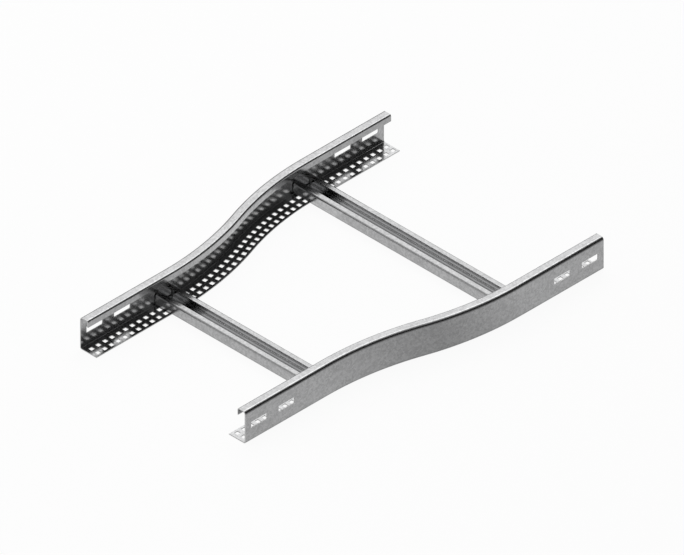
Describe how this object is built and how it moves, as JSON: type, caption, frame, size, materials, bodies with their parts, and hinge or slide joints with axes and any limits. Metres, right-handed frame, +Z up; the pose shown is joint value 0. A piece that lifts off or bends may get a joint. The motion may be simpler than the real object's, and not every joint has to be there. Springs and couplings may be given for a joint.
{
  "type": "cable ladder reducer",
  "caption": "Length of cable ladder whose side rails draw in with an S bend to join a wide ladder to a narrower one.",
  "frame": {"origin": "middle of the ladder's length and width, at the underside of the side rails", "axes": "+X along the ladder from the narrow end to the wide end, +Y to the left rail, +Z up"},
  "size_m": [0.6, 0.4, 0.05],
  "materials": {
    "rail_steel": "hot-dip galvanised, fine spangle",
    "rung_steel": "hot-dip galvanised, fine spangle"
  },
  "bodies": {
    "root": {"side_rail_left": "rail_steel", "side_rail_right": "rail_steel", "rung_narrow_end": "rung_steel", "rung_wide_end": "rung_steel"}
  },
  "joints": []
}
